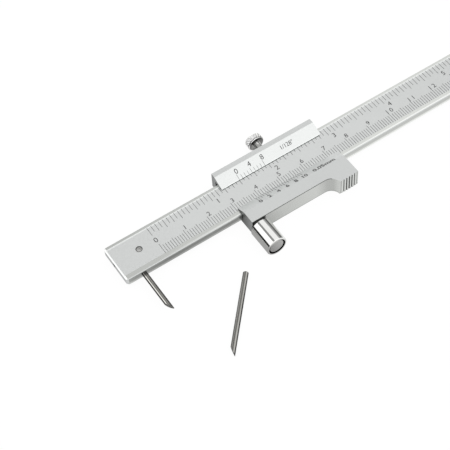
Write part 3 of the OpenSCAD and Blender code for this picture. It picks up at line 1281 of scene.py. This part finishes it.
@dataclass
class GuideRoller:
    """The guide roller on its axle, with the washer behind it."""

    cup_r: float = 3.35
    cup: float = 1.6
    bore_r: float = 2.05
    bevel: float = 0.25
    back_bevel: float = 0.75
    shank: float = 5.5
    shank_r: float = 1.5
    axle_r: float = 2.0
    head_r: float = 2.8
    head: float = 0.9
    crown: float = 0.4
    play: float = 0.02
    rounding: float = 0.14
    segments: int = 160
    small_segments: int = 96
    sharp: float = 32.0

    def build(self) -> None:
        """Turns roller, axle and washer, and finishes them."""
        self._roller()
        self._axle_and_washer()

    def _roller(self) -> None:
        """Turns the bright sleeve with its cup."""
        _, axis, radius, length = turned_box("guide_roller")
        profile = [
            (self.bore_r, 0.0), (radius - self.back_bevel, 0.0), (radius, self.back_bevel),
            (radius, length - self.bevel), (radius - self.bevel, length), (self.cup_r, length),
            (self.cup_r, length - self.cup), (self.bore_r, length - self.cup)]
        # Painted shade on the roller's back bevel next to the rail, and inside its bore and cup.
        rail_end = Zone((0.0, radius + 1), (-self.back_bevel, 0.1), 0.06)
        cup = Zone((0.0, self.cup_r + 0.03), (-length - 0.1, 0.1), 0.1)
        chrome = TurnedSteel(
            "chrome_roller_steel", 0.86, 0.07, 0.2, 0.0000006, 0.02, (rail_end, cup)).make(axis)
        mesh = revolved(softened_ring(profile), self.segments, along_y(axis, backwards=True))
        show("guide_roller_turned", mesh, "roller", chrome, "guide_roller", self.sharp)

    def _axle_and_washer(self) -> None:
        """Turns the headed axle and the washer between roller and rail."""
        axis = turned_box("guide_roller")[0]
        _, far, _, length = turned_box("roller_axle")
        near, _, outer, thick = turned_box("roller_washer")
        axle = softened([
            (0.0, 0.0), (self.shank_r, 0.0), (self.shank_r, self.shank), (self.axle_r, self.shank),
            (self.axle_r, length - self.head), (self.head_r, length - self.head),
            (self.head_r, length + self.crown), (0.0, length + self.crown)], self.rounding, 3)
        inner = self.axle_r + self.play
        washer = softened_ring([(inner, 0.0), (outer, 0.0), (outer, thick), (inner, thick)])
        # The washer's near-black level is painted shade for the gap between roller and rail.
        for node, end, profile, steel in (
            ("roller_axle", far, axle, TurnedSteel("axle_steel", 0.6, 0.3, 0.16, 0.000004, 0.1)),
            ("roller_washer", near, washer, TurnedSteel("washer_steel", 0.06, 0.4, 0.1, 0.000004, 0.03)),
        ):
            start = Vector((axis.x, end.y, axis.z))
            mesh = revolved(profile, self.small_segments, along_y(start, backwards=end is far))
            show(f"{node}_turned", mesh, "slider", steel.make(start), node, self.sharp)


@dataclass
class SmallParts:
    """Screws, gib strip, ball and scribers, which keep their CAD solids and get their finish."""

    place: WorkFrame
    clamp_at: Point = (-6.75, 8.8, 0.0)
    # Painted highlight: the bottom of the clamp screw's socket is brighter.
    socket: Zone = Zone((-1.0, 0.85), (-9.0, 9.0), 3.1)
    scriber_at: Point = (-10.1, 0.0, -1.5)
    # Painted highlight and shade lines along the scriber.
    scriber_lines: tuple[Point, ...] = ((-35.0, 13.0, 0.5), (-62.0, 20.0, -0.2))
    # Length of painted shade on the scriber where it leaves its bore.
    scriber_soiled: float = 1.6
    spare_at: Point = (19.3, -18.7, -3.8)
    spare_turn: float = -42.0
    # Painted highlight and shade lines along the spare scriber.
    spare_lines: tuple[Point, ...] = ((26.0, 12.0, 0.27), (62.0, 22.0, -0.17), (-4.0, 14.0, -0.07))

    def build(self) -> None:
        """Finishes every small part."""
        clamp, scriber, spare = (
            self.place.at(*point) for point in (self.clamp_at, self.scriber_at, self.spare_at))
        gib_screw = TurnedSteel("gib_screw_steel", 0.16, 0.4, 0.1)
        for node, finish, point, way in (
            ("scriber_clamp_screw", TurnedSteel("clamp_screw_steel", 0.17, 0.34, 0.1, zones=(self.socket,)),
             clamp, Lathe.ALONG_Z),
            ("clamp_ball", TurnedSteel("ball_steel", 0.5, 0.1), clamp, Lathe.ALONG_Z),
            ("end_stop_screw", TurnedSteel("stop_screw_steel", 0.42, 0.3, 0.12), None, Lathe.ALONG_Z),
            ("gib_screw_left", gib_screw, None, Lathe.ALONG_Y),
            ("gib_screw_right", gib_screw, None, Lathe.ALONG_Y),
            ("gib_strip", RodSteel("gib_steel", 0.07, 0.35), self.place.origin, math.pi / 2),
            ("scriber", RodSteel("scriber_steel", 0.25, 0.2, 0.6, 0.4, self.scriber_lines, self.scriber_soiled),
             scriber, 0.0),
            ("spare_scriber", RodSteel("spare_scriber_steel", 0.24, 0.3, 1.3, 0.3, self.spare_lines),
             spare, math.radians(self.spare_turn)),
        ):
            dress(node, finish.make(point or sum(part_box(node), Vector()) / 2, way))

# ---- the studio


def wall(x: float, y0: float, y1: float, height: float) -> list[Point]:
    """The corners of an upright screen that stands on the table across X."""
    return [(x, y0, 0.0), (x, y1, 0.0), (x, y1, height), (x, y0, height)]


def sheet(x0: float, x1: float, y0: float, y1: float, z: float) -> list[Point]:
    """The corners of a level surface."""
    return [(x0, y0, z), (x1, y0, z), (x1, y1, z), (x0, y1, z)]


@dataclass
class Studio:
    """Table, lamp, screens and camera, which was measured in the work frame."""

    place: WorkFrame
    stand: Point = (-103.771, -227.808, 372.998)
    back: Point = (-0.2789, -0.50017, 0.81978)
    right: Point = (0.83249, -0.55147, -0.05324)
    lens: float = 104.0
    sensor: float = 36.0
    clip: tuple[float, float] = (0.01, 20.0)
    world_level: float = 0.75
    lamp_at: Point = (0.3, -0.4, 1.0)
    lamp_aim: Point = (0.0, -0.05, 0.0)
    lamp_size: tuple[float, float] = (1.2, 0.7)
    lamp_power: float = 1.5
    floor_half: float = 3.0
    floor_cloth: float = 0.9
    floor_white: float = 1.04
    floor_seen: float = 0.9
    floor_from: float = -0.2
    floor_span: float = 0.2
    # Mirrors see the table glow at these shades along X, times floor_bright, a painted shadow.
    floor_bright: float = 1.9
    floor_stops: tuple[tuple[float, float], ...] = (
        (0.0, 0.2), (0.25, 0.43), (0.335, 0.52), (0.365, 0.27), (0.445, 0.19), (0.53, 0.22),
        (0.57, 0.21), (0.59, 0.22), (0.61, 0.32), (0.66, 0.48), (0.74, 0.56), (0.85, 0.48))
    overhead: float = 1.0

    def build(self) -> None:
        """Sets up everything round the object."""
        bpy.context.scene.view_settings.view_transform = "Standard"
        self._world()
        self._floor()
        self._lamp()
        self._screen("left_screen", 0.02, 0.02, 1.0, wall(-1.0, -0.8, 1.4, 0.33))
        self._screen("right_screen", 0.02, 0.95, 0.86, wall(0.5, 0.12, 0.75, 0.5))
        self._screen("top_left_screen", 1.28, 1.28, 1.0, sheet(-2.2, -0.46, 0.2, 1.6, self.overhead))
        self._screen("top_screen", 0.3, 0.3, 1.0, sheet(-0.46, -0.08, 0.3, 0.95, self.overhead))
        self._camera()

    def _world(self) -> None:
        """A white surround that lights the object at a plain level."""
        world = bpy.data.worlds.new("studio")
        bpy.context.scene.world = world
        world.use_nodes = True
        graph = Graph(world.node_tree)
        world.node_tree.nodes.clear()
        camera, mirrored = graph.rays()
        level = (camera + mirrored) * (1.0 - self.world_level) + self.world_level
        light = graph.get("ShaderNodeBackground", {}, {"Color": grey(1.0), "Strength": level})
        graph.node("ShaderNodeOutputWorld", {}, {"Surface": light})

    def _plate(self, name: str, corners: list[Point], material: Material) -> bpy.types.Object:
        """Adds one flat surface of the studio.

        Args:
            name: Its name.
            corners: Its four corners, in metres.
            material: Its material.

        Returns:
            The surface.
        """
        mesh = bpy.data.meshes.new(name)
        mesh.from_pydata(corners, [], [(0, 1, 2, 3)])
        mesh.materials.append(material)
        plate = linked(name, mesh)
        return plate

    def _floor(self) -> None:
        """A pale table top, which mirrors show as a glow with a painted shadow, greyer on the left than on the
        right.
        """
        shader = Shader("pale_table")
        camera, mirrored = shader.rays()
        place = (shader.parts(shader.seen())[0] - self.floor_from) / self.floor_span
        # Painted shadow: the glow that mirrors see is graded along X.
        grade = shader.get("ShaderNodeValToRGB", {"stops": self.floor_stops}, {0: place}) * self.floor_bright
        cloth = shader.get("ShaderNodeBsdfDiffuse", {}, {"Color": grey(self.floor_cloth)})
        glow = shader.glow(camera * self.floor_white + mirrored * grade)
        share = camera * self.floor_seen + mirrored
        material = shader.end(shader.get("ShaderNodeMixShader", {}, {0: share, 1: cloth, 2: glow}))
        half = self.floor_half
        self._plate("floor", sheet(-half, half, -half, half, 0.0), material)

    def _lamp(self) -> None:
        """Hangs the soft lamp."""
        data = bpy.data.lights.new("overhead", "AREA")
        data.shape, data.energy = "RECTANGLE", self.lamp_power
        data.size, data.size_y = self.lamp_size
        lamp = linked("overhead", data)
        lamp.location = self.lamp_at
        aim = Vector(self.lamp_aim) - Vector(self.lamp_at)
        lamp.rotation_euler = aim.to_track_quat("-Z", "Y").to_euler()

    def _screen(self, name: str, low: float, high: float, top: float, corners: list[Point]) -> None:
        """Adds a screen that only mirrors see.

        Args:
            name: Its name.
            low: How bright it looks in a mirror at the height of the table.
            high: How bright it looks at the height of top and over it.
            top: That height, in metres.
            corners: Its four corners, in metres.
        """
        shader = Shader(name)
        level = (shader.parts(shader.seen())[2] / top).lower(1) * (high - low) + low
        screen = self._plate(name, corners, shader.end(shader.glow(level)))
        screen.visible_camera = screen.visible_diffuse = screen.visible_shadow = False

    def _camera(self) -> None:
        """Puts the camera where the photograph was taken."""
        back, right = Vector(self.back).normalized(), Vector(self.right)
        right = (right - back * right.dot(back)).normalized()
        data = bpy.data.cameras.new("camera")
        data.lens, data.sensor_width = self.lens, self.sensor
        data.clip_start, data.clip_end = self.clip
        camera = linked("camera", data)
        turn = Matrix((right, back.cross(right), back)).transposed().to_4x4()
        camera.matrix_world = Matrix.Translation(self.place.at(*self.stand)) @ turn
        bpy.context.scene.camera = camera


def main() -> None:
    """Builds the looks of every piece in order, then the studio."""
    logging.basicConfig(level=logging.INFO, format="%(name)s: %(message)s")
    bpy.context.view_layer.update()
    place = work_frame()
    marks = MarkRow()
    Beam(place, marks).build()
    Slider(place, marks).build()
    LockScrew(WrappedCuts()).build()
    GuideRoller().build()
    SmallParts(place).build()
    Studio(place).build()


if __name__ == "__main__":
    main()
